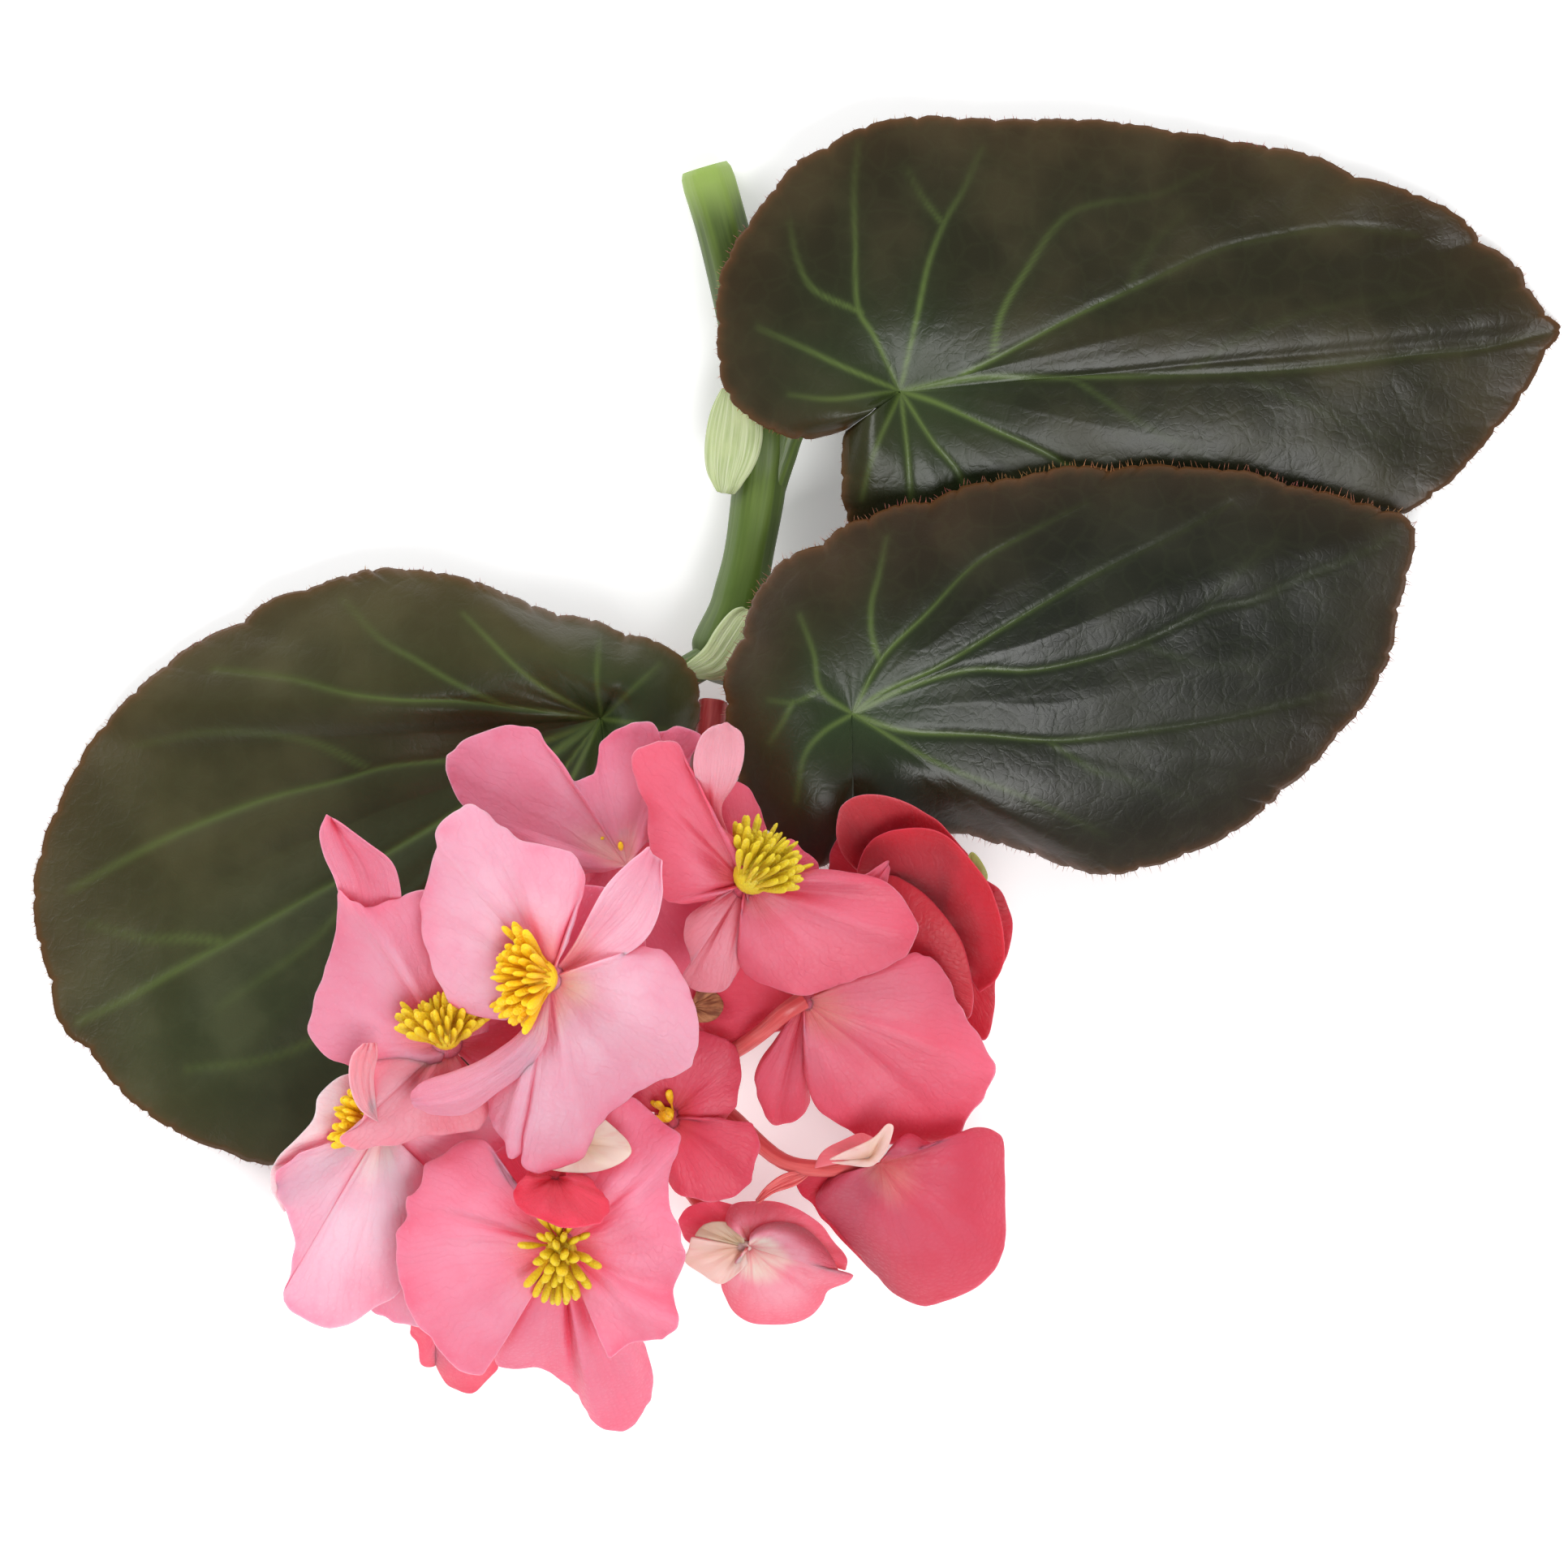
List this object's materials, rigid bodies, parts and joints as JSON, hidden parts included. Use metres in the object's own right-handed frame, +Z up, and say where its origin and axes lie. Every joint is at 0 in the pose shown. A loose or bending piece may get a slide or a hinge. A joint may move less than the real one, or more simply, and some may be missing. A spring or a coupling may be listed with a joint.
{
  "type": "cut begonia stem",
  "caption": "Cut begonia stem with dark bronze leaves and a head of pink flowers with yellow stamens, lying flat on a surface.",
  "frame": {"origin": "on the surface that the stem lies on, under the middle of its bounding box", "axes": "+X towards the tip of the upper leaf, +Y towards the cut end of the stem, +Z up from the surface"},
  "size_m": [0.2236, 0.1924, 0.0622],
  "materials": {
    "stem_green": "smooth and softly shiny, with fine lengthwise ridges",
    "stipule_pale": "thin, papery and matte",
    "leaf_bronze": "waxy and softly shiny between sunken green veins, red-brown hairy margin",
    "petal_pink": "soft, finely veined, satin",
    "petal_dusky": "soft, finely veined, satin",
    "petal_red": "soft, finely veined, satin",
    "stamen_yellow": "matte",
    "ovary_pale": "thin wings, satin",
    "bract_brown": "dry and matte",
    "stalk_red": "smooth and softly shiny"
  },
  "bodies": {
    "root": {"stem": "stem_green", "stipule_upper": "stipule_pale", "stipule_lower": "stipule_pale", "leaf_upper": "leaf_bronze", "leaf_middle": "leaf_bronze", "leaf_left": "leaf_bronze", "bloom_a": "petal_pink", "bloom_b": "petal_pink", "bloom_c": "petal_pink", "bloom_d": "petal_pink", "bloom_f": "petal_pink", "bloom_e": "petal_dusky", "bloom_g": "petal_dusky", "bloom_k": "petal_dusky", "bloom_h": "petal_red", "seed_flower_i": "petal_red", "seed_flower_j": "petal_dusky", "seed_flower_l": "petal_red", "bud_m": "petal_red", "stamens_a": "stamen_yellow", "stamens_b": "stamen_yellow", "stamens_c": "stamen_yellow", "stamens_d": "stamen_yellow", "stamens_e": "stamen_yellow", "stamens_f": "stamen_yellow", "stamens_k": "stamen_yellow", "ovary_h": "ovary_pale", "ovary_i": "ovary_pale", "ovary_j": "ovary_pale", "ovary_l": "ovary_pale", "bract": "bract_brown", "flower_stalks": "stalk_red"}
  },
  "joints": []
}
